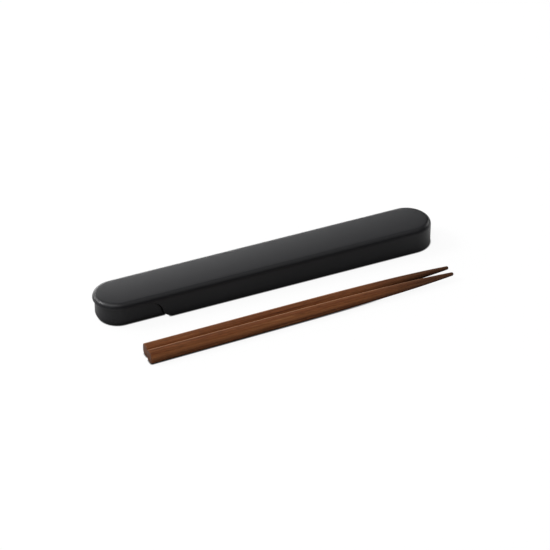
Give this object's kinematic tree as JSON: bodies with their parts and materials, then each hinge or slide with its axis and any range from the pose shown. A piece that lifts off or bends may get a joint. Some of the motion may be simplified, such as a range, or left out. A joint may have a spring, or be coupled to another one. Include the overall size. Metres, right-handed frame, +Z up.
{
  "type": "chopstick case",
  "caption": "Slim capsule-shaped travel case: a crowned cover slides over a tray with an exposed finger grip, and its tapered wooden chopsticks lie beside it.",
  "frame": {"origin": "middle of the case's footprint, on the table under it", "axes": "+X along the case to the cover's closed end, +Y to the back, away from the chopsticks, +Z up"},
  "size_m": [0.2, 0.064, 0.015],
  "materials": {
    "tray_plastic": "satin",
    "cover_plastic": "satin",
    "chopstick_wood": "satin"
  },
  "bodies": {
    "tray_body": {"tray": "tray_plastic"},
    "cover_body": {"cover": "cover_plastic"},
    "near_stick_body": {"near_chopstick": "chopstick_wood"},
    "far_stick_body": {"far_chopstick": "chopstick_wood"}
  },
  "joints": [
    {"name": "cover_slide", "type": "slide", "parent": "tray_body", "child": "cover_body", "axis": [1, 0, 0], "range_m": [0, 0.2]},
    {"name": "near_lift", "type": "slide", "parent": "tray_body", "child": "near_stick_body", "axis": [0, 0, 1], "range_m": [0, 0.06]},
    {"name": "far_lift", "type": "slide", "parent": "tray_body", "child": "far_stick_body", "axis": [0, 0, 1], "range_m": [0, 0.06]}
  ]
}
